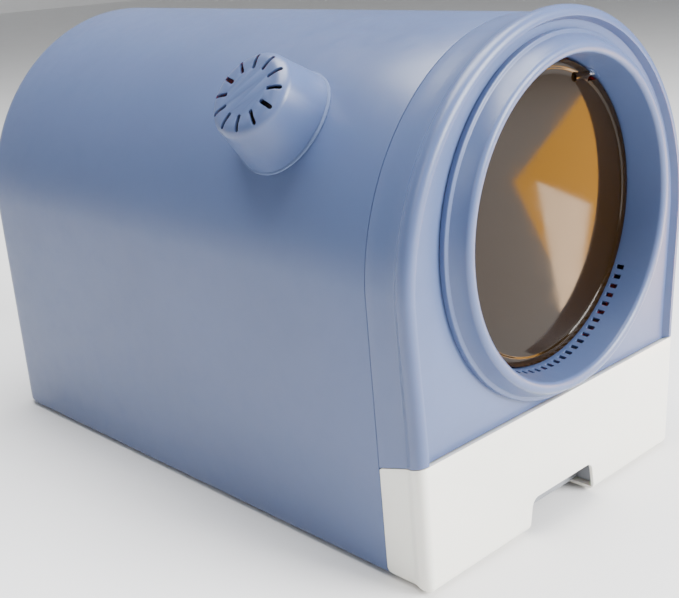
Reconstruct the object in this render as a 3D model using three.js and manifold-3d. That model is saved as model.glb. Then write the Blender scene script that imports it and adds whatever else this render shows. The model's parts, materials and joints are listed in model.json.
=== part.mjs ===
// A cat litter box with a tunnel-shaped hood: a deep moulded body that is closed at the back, a flared
// front frame with a round entry collar and a swinging amber flap, a pull-out litter drawer whose front
// wraps round the sides, and a vented cup for a carbon filter on the upper left of the hood.
// Millimetres, +Z up, the front faces -Y. The origin is on the floor, under the middle of the whole box,
// its cup included.

import * as THREE from 'three';
import Module from 'manifold-3d';
import { mergeVertices } from 'three/addons/utils/BufferGeometryUtils.js';

const wasm = await Module();
wasm.setup();

// ---------------------------------------------------------------- driving dimensions

// body
const hoodWidth = 368;          // outside, at the mouth, where the arch springs
const springHeight = 233;       // floor to the centre line of the arch
const bodyDepth = 584;          // front rim to the back of the body
const rearDraft = 3;            // each side narrows by this much towards the back
const sideLean = 13;            // each side stands in by this much at the floor
const wall = 3;
const rearFillet = 20;
const footFillet = 6;           // along the bottom edges
const floorLift = 2;            // height of the rubber feet
const runnerHeight = 1.5;
const runnerWidth = 8;
const runnerSpacing = 220;
const runnerEnds = 45;          // from the mouth to the start of the runners

// front frame
const frameDepth = 46;
const rimFlare = 6;             // how far the front rim stands out past the body
const rimFlareLow = 2.4;        // the same, down by the drawer
const rimEdge = 7;              // rounded outer edge of the rim
const rimLand = 2.5;            // straight part of the rim behind that edge
const rimCove = 9;              // hollow that leads from the rim back to the body's side
const rimBorder = 9;            // raised border round the face, from the outside of the rim
const faceRecess = 6;
const faceWall = 3;
const spigotDepth = 12;         // tongue of the frame inside the mouth of the body
const spigotWall = 2.4;
const spigotRoot = 4;           // overlap of the tongue with the frame's own wall

// entry collar
const faceMargin = 36;          // from the collar to the side of the body
const collarRise = 24;          // entry above the centre of the arch
const collarAboveDrawer = 1.5;
const collarReach = 14;         // lip in front of the front rim
const collarStep = -1;          // top of the collar's upright edge, in front of the front rim
const collarBevel = 4;
const collarSlope = 8.5;        // from the collar's edge in to the lip
const lipWidth = 10;
const lipRound = 4;             // height of the rounding of the lip
const throatTaper = 3.5;        // the throat narrows by this much inwards
const throatEnd = 24;           // inner end of the collar behind the front rim
const collarWall = 2.8;
const collarPlay = 1;           // round the collar in the hole of the frame
const drainCount = 29;
const drainPitch = 9;
const drainWidth = 4.2;
const drainNear = 10.5;         // drain slots, from here ...
const drainFar = 17.5;          // ... to here behind the front rim
const collarScrews = 6;
const collarScrewInset = 9.5;   // from the collar's edge to its screws

// flap
const flapThickness = 3;
const flapBorder = 8;
const flapBorderThickness = 5;
const flapBevel = 1;
const flapMiddle = 21;          // middle of the flap behind the front rim
const flapGap = 1.3;            // round the flap, in the throat
const pivotDrop = 19.7;         // pivots below the top of the flap
const pinRadius = 2;
const pinLength = 34;
const knuckleRadius = 4.2;
const knuckleLength = 17;
const knuckleSetback = 6.5;     // knuckles inside the edge of the flap
const bossWall = 2.9;           // round the pins, on the outside of the throat

// drawer
const wingFall = 0.3;           // fall of the parting line per millimetre towards the back
const wingCorner = 3;           // upper back corner of each wing
const drawerCorner = 9;         // lower back corner of each wing
const partingGap = 0.8;
const flangeHeight = 8;         // flange behind the top edge of the drawer front, under the face
const notchHeight = 30;
const notchBottom = 98;
const notchTop = 86;
const notchRadius = 6;
const trayClearance = 4;        // beside the tray, at the bottom of the body
const trayBelowDrawer = 15.5;   // rim of the tray below the top of the drawer front
const trayWall = 2.5;
const trayRim = 4;
const trayRear = 22;            // from the back of the tray to the back of the body
const trayCorner = 22;
const trayFrontCorner = 6;
const pocketDepth = 13.3;       // hollow behind the notch, for the fingers
const pocketMargin = 3;
const padHeight = 4;            // screw pads on the back of the drawer front
const padRadius = 6;
const padBelowRim = 20;
const padPlaces = [-130, -60, 60, 130];

// carbon filter cup
const cupAngle = 142.5;         // round the arch, from +X
const cupBehindFront = 165;
const cupHeight = 44;
const cupBaseRadius = 45;
const cupTaper = 7;
const cupCrown = 9;             // height of the rounding of the cap
const cupCrownWidth = 11;
const cupWall = 2.5;
const cupLedge = 8;             // seat of the cup outside its tongue
const cupLedgeHeight = 6;
const cupTongueDepth = 13;
const cupSlots = 12;
const cupSlotInner = 20;
const cupSlotMargin = 3.5;
const cupSlotWidth = 3.8;
const cupSlotTurn = 12;
const sealThickness = 1.4;
const sealLip = 2;              // seal outside the foot of the cup
const filterHeight = 24;
const grilleThickness = 3;
const grilleHole = 4.5;
const grilleRings = [[0, 1], [12.5, 6], [25, 12]];

// fasteners and feet
const screwRadius = 1.5;
const screwHeadRadius = 3.6;
const screwHeadHeight = 2.2;
const screwPoint = 1;
const screwPlay = 0.5;          // round a screw in the piece that it holds
const collarScrewLength = 11;
const drawerScrewLength = 7.5;
const footRadius = 10;
const footInset = 45;

const gap = 0.3;                // between pieces that touch
const bite = 0.5;               // joined shapes run into each other by this much
const past = 1;                 // cutting shapes run past the surface by this much

// facets round the curves
const archSteps = 32;
const sideSteps = 3;
const roundFacets = 48;         // collar and flap
const cupFacets = 36;
const barFacets = 120;          // hood under the cup
const hingeFacets = 12;
const screwFacets = 10;
const hexagon = 6;

// ---------------------------------------------------------------- derived places

const totalDepth = bodyDepth + collarReach;
const frontY = -totalDepth / 2 + collarReach;     // plane of the front rim
const rearY = totalDepth / 2;
const mouthY = frontY + frameDepth;               // front edge of the body
const halfWidth = hoodWidth / 2;
const faceY = frontY + faceRecess;
const faceBackY = faceY + faceWall;
const floorTop = floorLift + wall;

const collarHeight = springHeight + collarRise;
const collarRadius = halfWidth - faceMargin;
const lipOuter = collarRadius - collarSlope;
const lipRadius = lipOuter - lipWidth;            // clear radius at the lip
const throatRadius = lipRadius - throatTaper;     // clear radius at the inner end of the collar
const drawerTop = collarHeight - collarRadius - collarAboveDrawer;

const flapRadius = throatRadius - flapGap;
const pivotRise = flapRadius - pivotDrop;         // above the centre of the entry
const pivotY = frontY + flapMiddle;
const pivotZ = collarHeight + pivotRise;
const knuckleEnd = Math.sqrt(flapRadius ** 2 - pivotRise ** 2) - knuckleSetback;
const pinInnerEnd = knuckleEnd - knuckleLength;

const panelBackY = frontY + wall;
const trayHalfWidth = halfWidth - rearDraft - sideLean - wall - trayClearance;
const trayHeight = drawerTop - trayBelowDrawer;   // rim above the floor
const trayFrontY = panelBackY + padHeight + gap;
const trayRearY = rearY - trayRear;
const trayBottom = floorTop + runnerHeight + gap;
const padSpots = padPlaces.map((x) => [x, trayHeight - padBelowRim]);

const cupY = frontY + cupBehindFront;
const cupTurn = 90 - cupAngle;
const cupTopRadius = cupBaseRadius - cupTaper;
const cupTongueRadius = cupBaseRadius - cupLedge;
const cupSlotOuter = cupTopRadius - cupSlotMargin;
// the hood under the front edge of the seal, where it is widest
const archRadius = halfWidth - rearDraft * ((cupBehindFront - cupBaseRadius - sealLip) / bodyDepth);

const colours = {
  blue: new THREE.MeshStandardMaterial({ color: 0x93a5c8, roughness: 0.45, metalness: 0 }),
  white: new THREE.MeshStandardMaterial({ color: 0xf6f3ea, roughness: 0.4, metalness: 0 }),
  amber: new THREE.MeshStandardMaterial({ color: 0x6b3f14, roughness: 0.08, metalness: 0 }),
  grey: new THREE.MeshStandardMaterial({ color: 0x8d9096, roughness: 0.5, metalness: 0 }),
  rubber: new THREE.MeshStandardMaterial({ color: 0x2c3138, roughness: 0.8, metalness: 0 }),
  carbon: new THREE.MeshStandardMaterial({ color: 0x17181a, roughness: 0.95, metalness: 0 }),
  steel: new THREE.MeshStandardMaterial({ color: 0xb9bcc0, roughness: 0.3, metalness: 1 }),
};

// ---------------------------------------------------------------- solids

// a closed geometry as a solid that can be joined and cut
function solidOf(geometry) {
  const bare = geometry.clone();
  bare.deleteAttribute('normal');
  bare.deleteAttribute('uv');
  const merged = mergeVertices(bare, 1e-4);
  return new wasm.Manifold(new wasm.Mesh({
    numProp: 3,
    vertProperties: new Float32Array(merged.attributes.position.array),
    triVerts: new Uint32Array(merged.index.array),
  }));
}

function geometryOf(solid) {
  const mesh = solid.getMesh();
  const geometry = new THREE.BufferGeometry();
  geometry.setAttribute('position', new THREE.BufferAttribute(mesh.vertProperties, 3));
  geometry.setIndex(new THREE.BufferAttribute(mesh.triVerts, 1));
  geometry.computeVertexNormals();
  return geometry;
}

function pieceOf(name, solid, material) {
  const mesh = new THREE.Mesh(geometryOf(solid), material);
  mesh.name = name;
  return mesh;
}

// a box from its lowest to its highest corner
function block(low, high) {
  const size = high.map((value, i) => value - low[i]);
  const box = new THREE.BoxGeometry(...size);
  return solidOf(box.translate(...low.map((value, i) => value + size[i] / 2)));
}

// a turned solid about +Z from a profile of [radius, height] points
function turned(profile, segments) {
  const lathe = new THREE.LatheGeometry(profile.map(([r, h]) => new THREE.Vector2(r, h)), segments);
  return solidOf(lathe.rotateX(Math.PI / 2));
}

function rod(radius, low, high, segments) {
  return turned([[0, low], [radius, low], [radius, high], [0, high]], segments);
}

// a flat outline extruded along +Z
function slab(shape, low, high, curveSegments = 5) {
  const options = { depth: high - low, bevelEnabled: false, curveSegments };
  return solidOf(new THREE.ExtrudeGeometry(shape, options).translate(0, 0, low));
}

// turns +Z to -Y, the way the entry faces, and puts the solid on the axis of the entry
const onEntryAxis = (solid) => solid.rotate([90, 0, 0]).translate([0, frontY, collarHeight]);

// a closed skin through outlines of the same number of points, clockwise from the front, front to back
function loft(sections) {
  const count = sections[0].points.length;
  const ends = [sections[0], sections[sections.length - 1]];
  const rim = sections.flatMap(({ y, points }) => points.flatMap((p) => [p.x, y, p.y]));
  const middles = ends.flatMap(({ y }) => [0, y, springHeight]);
  const faces = [];
  for (let s = 0; s + 1 < sections.length; s += 1) {
    for (let i = 0; i < count; i += 1) {
      const a = s * count + i;
      const b = s * count + ((i + 1) % count);
      faces.push(a, b, b + count, a, b + count, a + count);
    }
  }
  const last = (sections.length - 1) * count;
  const front = sections.length * count;
  for (let i = 0; i < count; i += 1) {
    const next = (i + 1) % count;
    faces.push(front, next, i, front + 1, last + i, last + next);
  }
  const geometry = new THREE.BufferGeometry();
  geometry.setAttribute('position', new THREE.Float32BufferAttribute([...rim, ...middles], 3));
  geometry.setIndex(faces);
  return solidOf(geometry);
}

// ---------------------------------------------------------------- the tunnel shape

// share of the rim's flare at a height: full round the arch, less down by the drawer
function flareShare(z) {
  const low = rimFlareLow / rimFlare;
  return THREE.MathUtils.lerp(low, 1, THREE.MathUtils.smoothstep(z, drawerTop, springHeight));
}

// front view of the tunnel, clockwise from the lower left, drawn in by inset and out by flare
function tunnelOutline(y, inset, flare = 0) {
  const half = halfWidth - rearDraft * ((y - frontY) / bodyDepth) - inset;
  const bottom = floorLift + inset;
  const fillet = Math.max(footFillet - inset, wall / 2);
  const edgeX = (z) => half - sideLean * (1 - z / springHeight) + flare * flareShare(z);
  const foot = [-90, -60, -30, 0].map((degrees) => {
    const angle = THREE.MathUtils.degToRad(degrees);
    const inner = edgeX(bottom + fillet) - fillet;
    return [inner + fillet * Math.cos(angle), bottom + fillet + fillet * Math.sin(angle)];
  });
  const side = [];
  for (let i = 1; i <= sideSteps; i += 1) {
    const z = THREE.MathUtils.lerp(bottom + fillet, springHeight, i / sideSteps);
    side.push([edgeX(z), z]);
  }
  const top = [];
  for (let i = 1; i < archSteps; i += 1) {
    const angle = Math.PI - (Math.PI * i) / archSteps;
    const radius = half + flare;
    top.push(new THREE.Vector2(radius * Math.cos(angle), springHeight + radius * Math.sin(angle)));
  }
  const rise = [...foot, ...side];
  const left = rise.map(([x, z]) => new THREE.Vector2(-x, z));
  const right = rise.map(([x, z]) => new THREE.Vector2(x, z)).reverse();
  return [...left, ...top, ...right];
}

// the tunnel from its mouth to a rounded back end
function tunnelSolid(startY, endY, inset, fillet) {
  const sections = [{ y: startY, points: tunnelOutline(startY, inset) }];
  [0, 22.5, 45, 67.5, 90].forEach((degrees) => {
    const angle = THREE.MathUtils.degToRad(degrees);
    const y = endY - fillet + fillet * Math.sin(angle);
    sections.push({ y, points: tunnelOutline(y, inset + fillet * (1 - Math.cos(angle))) });
  });
  return loft(sections);
}

// how far the rim stands out at a depth behind the front plane: edge, land, cove, then nothing
function rimProfile() {
  const edge = [90, 60, 30, 0].map((degrees) => {
    const angle = THREE.MathUtils.degToRad(degrees);
    return [rimEdge * (1 - Math.sin(angle)), rimFlare - rimEdge * (1 - Math.cos(angle))];
  });
  const cove = [0, 0.3, 0.7, 1].map((t) => [
    rimEdge + rimLand + rimCove * t,
    (rimFlare / 2) * (1 + Math.cos(Math.PI * t)),
  ]);
  return [...edge, ...cove];
}

// outer skin that the frame and the drawer front share
function frontSkin(endY) {
  const sections = rimProfile().map(([depth, out]) => ({
    y: frontY + depth,
    points: tunnelOutline(frontY + depth, 0, out),
  }));
  sections.push({ y: endY, points: tunnelOutline(endY, 0) });
  return loft(sections);
}

const straightTunnel = (startY, endY, inset, flare = 0) => loft(
  [startY, endY].map((y) => ({ y, points: tunnelOutline(y, inset, flare) })),
);

// a shape drawn in the side view (Y, Z), extruded along X past both sides
function acrossBox(shape) {
  const span = hoodWidth + 4 * rimFlare;
  return slab(shape, -span / 2, span / 2).rotate([90, 0, 90]);
}

// height of the parting line between the frame and the drawer front, moved up by rise
const partingLine = (y, rise) => drawerTop - wingFall * (y - frontY) + rise;

function abovePartingLine(rise) {
  const nearY = frontY - frameDepth;
  const farY = mouthY + frameDepth;
  const top = springHeight + hoodWidth;
  const corners = [
    [nearY, partingLine(frontY, rise)], [frontY, partingLine(frontY, rise)],
    [farY, partingLine(farY, rise)], [farY, top], [nearY, top],
  ];
  return acrossBox(new THREE.Shape(corners.map(([y, z]) => new THREE.Vector2(y, z))));
}

// ---------------------------------------------------------------- body and frame

function bodyShell() {
  const runner = (side) => block(
    [(side * runnerSpacing - runnerWidth) / 2, mouthY + runnerEnds, floorTop - bite],
    [(side * runnerSpacing + runnerWidth) / 2, trayRearY - trayCorner, floorTop + runnerHeight],
  );
  const cupHole = rod(cupTongueRadius + 2 * gap, archRadius / 2, archRadius + cupHeight, cupFacets);
  return tunnelSolid(mouthY, rearY, 0, rearFillet)
    .subtract(tunnelSolid(mouthY - past, rearY - wall, wall, rearFillet - wall))
    .add(runner(-1))
    .add(runner(1))
    .subtract(cupHole.rotate([0, cupTurn, 0]).translate([0, cupY, springHeight]));
}

function frontFrame() {
  const backY = mouthY - gap;
  const rootY = backY - spigotRoot;
  const tipY = mouthY + spigotDepth;
  const outside = wall + gap;
  const inside = outside + spigotWall;
  const shell = frontSkin(backY)
    .subtract(straightTunnel(faceBackY, backY + past, wall))
    .subtract(straightTunnel(frontY - past, faceY, rimBorder, rimFlare));
  const root = straightTunnel(rootY, backY - past, wall - bite);
  const spigot = straightTunnel(rootY, tipY, outside)
    .add(root)
    .subtract(straightTunnel(rootY - past, tipY + past, inside));
  const hole = rod(throatAt(0) + collarWall + collarPlay, -collarReach, collarReach, roundFacets);
  const screwHole = rod(screwRadius + screwPlay, -collarReach, collarReach, screwFacets);
  let frame = shell.add(spigot).subtract(onEntryAxis(hole)).intersect(abovePartingLine(partingGap / 2));
  collarScrewAngles.forEach((angle) => {
    frame = frame.subtract(onEntryAxis(around(screwHole, collarScrewCircle, angle)));
  });
  return frame;
}

// ---------------------------------------------------------------- entry collar, flap and pivots

const collarScrewCircle = collarRadius - collarScrewInset;
const collarScrewAngles = Array.from({ length: collarScrews }, (_, i) => (360 / collarScrews) * (i + 0.5));

// moves a solid out to a radius and round the Z axis
const around = (solid, radius, degrees) => solid.translate([radius, 0, 0]).rotate([0, 0, degrees]);

// lays a rod along X, on the left or the right, at the height of the pivots
const atPivot = (solid, side, height) => solid.rotate([0, side * 90, 0]).translate([0, pivotRise, height]);

// clear radius of the collar at a height in front of the front rim
const throatAt = (h) => throatRadius + throatTaper * ((h + throatEnd) / (throatEnd + collarReach));

// half section of the collar, from its seat on the face, over the lip and back inside the throat
function collarProfile(seat, cavityTop) {
  const middle = lipRadius + lipWidth / 2;
  const lip = [0, 45, 90, 135, 180].map((degrees) => {
    const angle = THREE.MathUtils.degToRad(degrees);
    const crest = collarReach - lipRound * (1 - Math.sin(angle));
    return [middle + (lipWidth / 2) * Math.cos(angle), crest];
  });
  return [
    [collarRadius, seat],
    [collarRadius, collarStep],
    [collarRadius - collarBevel, collarStep + past],
    ...lip,
    [throatRadius, -throatEnd],
    [throatRadius + collarWall, -throatEnd],
    [throatAt(cavityTop) + collarWall, cavityTop],
    [lipOuter - collarWall, cavityTop],
    [collarRadius - collarBevel - collarWall, collarStep - collarWall],
    [collarRadius - collarBevel - collarWall, seat],
    [collarRadius, seat],
  ];
}

function entryCollar() {
  const seat = gap - faceRecess;
  const cavityTop = collarReach - 2 * collarWall;
  const screwTip = collarScrewLength - faceRecess - faceWall + past;
  const post = rod(screwRadius + collarWall, seat, cavityTop + past, screwFacets);
  const screwHole = rod(screwRadius + gap, seat - past, screwTip, screwFacets);
  const boss = rod(pinRadius + bossWall, knuckleEnd, pinInnerEnd + pinLength + past, hingeFacets);
  const pinHole = rod(pinRadius + gap, 0, pinInnerEnd + pinLength + 2 * past, hingeFacets);
  const clear = turned([
    [0, -2 * throatEnd], [throatRadius, -2 * throatEnd], [throatRadius, -throatEnd], [throatAt(0), 0], [0, 0],
  ], roundFacets);

  let collar = turned(collarProfile(seat, cavityTop), roundFacets);
  collarScrewAngles.forEach((angle) => {
    collar = collar.add(around(post, collarScrewCircle, angle));
    collar = collar.subtract(around(screwHole, collarScrewCircle, angle));
  });
  [-1, 1].forEach((side) => {
    collar = collar.add(atPivot(boss, side, -flapMiddle)).subtract(atPivot(pinHole, side, -flapMiddle));
  });
  collar = collar.subtract(clear);

  // drain slots round the lowest part of the throat
  const slot = block(
    [throatRadius - collarWall, -drainWidth / 2, -drainFar],
    [throatRadius + 2 * collarWall, drainWidth / 2, -drainNear],
  );
  const step = THREE.MathUtils.radToDeg(drainPitch / throatRadius);
  for (let i = 0; i < drainCount; i += 1) {
    collar = collar.subtract(slot.rotate([0, 0, -90 + step * (i - (drainCount - 1) / 2)]));
  }
  return onEntryAxis(collar);
}

function entryFlap() {
  const half = flapThickness / 2;
  const border = flapBorderThickness / 2;
  const inner = flapRadius - flapBorder;
  const knuckle = rod(knuckleRadius, pinInnerEnd - pinRadius, knuckleEnd, hingeFacets);
  const bore = rod(pinRadius + gap, pinInnerEnd - gap, flapRadius, hingeFacets);
  const relief = rod(pinRadius + bossWall + flapGap, knuckleEnd, flapRadius, hingeFacets);
  let flap = turned([
    [0, -half], [inner, -half], [inner + flapBevel, -border], [flapRadius - flapBevel, -border],
    [flapRadius, flapBevel - border], [flapRadius, border - flapBevel],
    [flapRadius - flapBevel, border], [inner + flapBevel, border], [inner, half], [0, half],
  ], roundFacets);
  [-1, 1].forEach((side) => {
    flap = flap.add(atPivot(knuckle, side, 0));
  });
  flap = flap.intersect(rod(flapRadius, -flapBorder, flapBorder, roundFacets));
  [-1, 1].forEach((side) => {
    flap = flap.subtract(atPivot(bore, side, 0)).subtract(atPivot(relief, side, 0));
  });
  return onEntryAxis(flap.translate([0, 0, -flapMiddle]));
}

const hingePin = (side) => rod(pinRadius, pinInnerEnd, pinInnerEnd + pinLength, hingeFacets)
  .rotate([0, side * 90, 0])
  .translate([0, pivotY, pivotZ]);

// pan-head screw along +Z: the head is below zero and the shank above
function screw(length) {
  const bevel = screwHeadHeight / 3;
  return turned([
    [0, -screwHeadHeight], [screwHeadRadius - bevel, -screwHeadHeight],
    [screwHeadRadius, bevel - screwHeadHeight], [screwHeadRadius, 0],
    [screwRadius, 0], [screwRadius, length - screwPoint], [0, length],
  ], screwFacets);
}

// ---------------------------------------------------------------- drawer

function drawerFront() {
  const backY = mouthY - gap;
  const top = (y) => partingLine(y, -partingGap / 2);
  const side = new THREE.Shape();
  side.moveTo(frontY - past, 0);
  side.lineTo(backY - drawerCorner, 0);
  side.lineTo(backY - drawerCorner, floorLift);
  side.absarc(backY - drawerCorner, floorLift + drawerCorner, drawerCorner, -Math.PI / 2, 0, false);
  side.lineTo(backY, top(backY) - wingCorner);
  side.quadraticCurveTo(backY, top(backY), backY - wingCorner, top(backY - wingCorner));
  side.lineTo(frontY, top(frontY));
  side.lineTo(frontY - past, top(frontY));
  const pad = rod(padRadius, -bite, padHeight, hingeFacets);
  const screwHole = rod(screwRadius + gap, past - wall, padHeight + past, screwFacets);
  const flange = straightTunnel(panelBackY - bite, faceBackY, wall - bite).intersect(block(
    [-hoodWidth, frontY, drawerTop - flangeHeight],
    [hoodWidth, faceBackY, drawerTop],
  ));
  let panel = frontSkin(backY)
    .subtract(straightTunnel(panelBackY, backY + past, wall))
    .add(flange)
    .intersect(acrossBox(side));
  padSpots.forEach(([x, z]) => {
    panel = panel.add(alongY(pad, x, panelBackY, z)).subtract(alongY(screwHole, x, panelBackY, z));
  });
  return panel.subtract(fingerNotch());
}

// turns +Z to +Y and moves the solid to a place
const alongY = (solid, x, y, z) => solid.rotate([-90, 0, 0]).translate([x, y, z]);

// cut through the lower middle of the drawer front for the fingers
function fingerNotch() {
  const low = notchBottom / 2;
  const high = notchTop / 2;
  const shoulder = THREE.MathUtils.lerp(high, low, notchRadius / notchHeight);
  const shape = new THREE.Shape();
  shape.moveTo(-low, 0);
  shape.lineTo(-low, floorLift);
  shape.lineTo(-shoulder, notchHeight - notchRadius);
  shape.quadraticCurveTo(-high, notchHeight, notchRadius - high, notchHeight);
  shape.lineTo(high - notchRadius, notchHeight);
  shape.quadraticCurveTo(high, notchHeight, shoulder, notchHeight - notchRadius);
  shape.lineTo(low, floorLift);
  shape.lineTo(low, 0);
  return slab(shape, -frameDepth, past).rotate([90, 0, 0]).translate([0, frontY, 0]);
}

// plan of the tray, drawn in by inset
function trayPlan(inset) {
  const x = trayHalfWidth - inset;
  const front = trayFrontY + inset;
  const back = trayRearY - inset;
  const near = Math.max(trayFrontCorner - inset, past);
  const far = Math.max(trayCorner - inset, past);
  const shape = new THREE.Shape();
  shape.moveTo(near - x, front);
  shape.lineTo(x - near, front);
  shape.quadraticCurveTo(x, front, x, front + near);
  shape.lineTo(x, back - far);
  shape.quadraticCurveTo(x, back, x - far, back);
  shape.lineTo(far - x, back);
  shape.quadraticCurveTo(-x, back, -x, back - far);
  shape.lineTo(-x, front + near);
  shape.quadraticCurveTo(-x, front, near - x, front);
  return shape;
}

function litterTray() {
  const pocketHalf = notchBottom / 2 + pocketMargin + trayWall;
  const pocketBack = trayFrontY + pocketDepth + trayWall;
  const pocketTop = notchHeight + pocketMargin;
  const aheadOfFront = block([-hoodWidth, -totalDepth, 0], [hoodWidth, trayFrontY, springHeight]);
  const pocket = block([-pocketHalf, trayFrontY, trayBottom], [pocketHalf, pocketBack, pocketTop]);
  const pocketVoid = block(
    [trayWall - pocketHalf, trayFrontY - past, trayBottom - past],
    [pocketHalf - trayWall, pocketBack - trayWall, pocketTop - trayWall],
  );
  const screwHole = rod(screwRadius + screwPlay, -past, trayWall + past, screwFacets);
  let tray = slab(trayPlan(0), trayBottom, trayHeight)
    .add(slab(trayPlan(-trayRim), trayHeight - trayWall, trayHeight))
    .subtract(aheadOfFront)
    .subtract(slab(trayPlan(trayWall), trayBottom + trayWall, trayHeight + past))
    .add(pocket)
    .subtract(pocketVoid);
  padSpots.forEach(([x, z]) => {
    tray = tray.subtract(alongY(screwHole, x, trayFrontY, z));
  });
  return tray;
}

// ---------------------------------------------------------------- carbon filter cup

// these four are drawn about +Z, with the arch of the hood as a round bar along Y

const archBar = (radius) => rod(radius, -2 * cupBaseRadius, 2 * cupBaseRadius, barFacets).rotate([90, 0, 0]);

function cupCap() {
  const top = archRadius + cupHeight;
  const shoulder = top - cupCrown;
  const foot = archRadius - cupTongueDepth;
  const landing = archRadius + cupLedgeHeight;
  const radiusAt = (z) => cupBaseRadius - cupTaper * ((z - archRadius) / (shoulder - archRadius));
  const crown = (inset) => [0, 30, 60, 90].map((degrees) => {
    const angle = THREE.MathUtils.degToRad(degrees);
    return [
      cupTopRadius - cupCrownWidth + (cupCrownWidth - inset) * Math.cos(angle),
      shoulder + (cupCrown - inset) * Math.sin(angle),
    ];
  });
  const inside = cupTongueRadius - cupWall;
  const outer = turned([[0, foot], [radiusAt(foot), foot], ...crown(0), [0, top]], cupFacets);
  const tongue = rod(cupTongueRadius, foot, landing, cupFacets);
  const hollow = turned([
    [0, foot - past], [inside, foot - past], [inside, landing],
    [radiusAt(landing + cupWall) - cupWall, landing + cupWall], ...crown(cupWall), [0, top - cupWall],
  ], cupFacets);
  let cap = outer.subtract(archBar(archRadius + sealThickness + 2 * gap)).add(tongue).subtract(hollow);
  for (let i = 0; i < cupSlots; i += 1) {
    const slot = roundEndSlot().translate([0, 0, shoulder - cupWall]);
    cap = cap.subtract(slot.rotate([0, 0, (360 / cupSlots) * i + cupSlotTurn]));
  }
  return cap;
}

function roundEndSlot() {
  const r = cupSlotWidth / 2;
  const shape = new THREE.Shape();
  shape.absarc(cupSlotOuter - r, 0, r, -Math.PI / 2, Math.PI / 2, false);
  shape.absarc(cupSlotInner + r, 0, r, Math.PI / 2, (3 * Math.PI) / 2, false);
  return slab(shape, 0, 2 * cupCrown, 4);
}

const cupSeal = () => rod(cupBaseRadius + sealLip, archRadius / 2, archRadius + cupHeight, cupFacets)
  .subtract(rod(cupTongueRadius + 2 * gap, 0, archRadius + cupHeight + past, cupFacets))
  .intersect(archBar(archRadius + gap + sealThickness))
  .subtract(archBar(archRadius + gap));

const filterRadius = cupTongueRadius - cupWall - 2 * gap;
const grilleLow = archRadius - cupTongueDepth;
const filterLow = grilleLow + grilleThickness + gap;

const carbonFilter = () => rod(filterRadius, filterLow, filterLow + filterHeight, cupFacets);

function filterGrille() {
  const hole = rod(grilleHole, grilleLow - past, grilleLow + grilleThickness + past, hexagon);
  let grille = rod(filterRadius, grilleLow, grilleLow + grilleThickness, cupFacets);
  grilleRings.forEach(([distance, count]) => {
    for (let i = 0; i < count; i += 1) {
      grille = grille.subtract(around(hole, distance, (360 / count) * i));
    }
  });
  return grille;
}

// ---------------------------------------------------------------- rubber feet

function foot(sideX, sideY) {
  const x = sideX * (halfWidth - sideLean - footInset);
  const y = sideY < 0 ? mouthY + footInset : rearY - rearFillet - footInset;
  const bevel = floorLift / 3;
  return turned([
    [0, 0], [footRadius - bevel, 0], [footRadius, bevel], [footRadius, floorLift - gap], [0, floorLift - gap],
  ], hingeFacets).translate([x, y, 0]);
}

// ---------------------------------------------------------------- the box

const box = new THREE.Group();
box.add(pieceOf('body_shell', bodyShell(), colours.blue));
box.add(pieceOf('front_frame', frontFrame(), colours.blue));
box.add(pieceOf('entry_collar', entryCollar(), colours.blue));
box.add(pieceOf('entry_flap', entryFlap(), colours.amber));
box.add(pieceOf('flap_pin_left', hingePin(-1), colours.steel));
box.add(pieceOf('flap_pin_right', hingePin(1), colours.steel));
collarScrewAngles.forEach((angle, i) => {
  const fastener = screw(collarScrewLength).translate([0, 0, -faceRecess - faceWall - gap]);
  const placed = onEntryAxis(around(fastener, collarScrewCircle, angle));
  box.add(pieceOf(`collar_screw_${i + 1}`, placed, colours.steel));
});

const drawer = new THREE.Group();
drawer.add(pieceOf('litter_tray', litterTray(), colours.grey));
drawer.add(pieceOf('drawer_front', drawerFront(), colours.white));
padSpots.forEach(([x, z], i) => {
  const fastener = screw(drawerScrewLength).rotate([90, 0, 0]);
  const placed = fastener.translate([x, trayFrontY + trayWall + gap, z]);
  drawer.add(pieceOf(`drawer_screw_${i + 1}`, placed, colours.steel));
});
box.add(drawer);

const cup = new THREE.Group();
cup.position.set(0, cupY, springHeight);
cup.rotation.y = THREE.MathUtils.degToRad(cupTurn);
cup.add(pieceOf('filter_cap', cupCap(), colours.blue));
cup.add(pieceOf('filter_seal', cupSeal(), colours.rubber));
cup.add(pieceOf('carbon_filter', carbonFilter(), colours.carbon));
cup.add(pieceOf('filter_grille', filterGrille(), colours.grey));
box.add(cup);

box.add(pieceOf('foot_front_left', foot(-1, -1), colours.rubber));
box.add(pieceOf('foot_front_right', foot(1, -1), colours.rubber));
box.add(pieceOf('foot_rear_left', foot(-1, 1), colours.rubber));
box.add(pieceOf('foot_rear_right', foot(1, 1), colours.rubber));

// the cup overhangs on the left, so the middle of the whole box is off the middle of the body
box.position.x = -new THREE.Box3().setFromObject(box, true).getCenter(new THREE.Vector3()).x;

export default box;
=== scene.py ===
import json
import math

import bmesh
import bpy
from mathutils import Matrix, Vector


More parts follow.
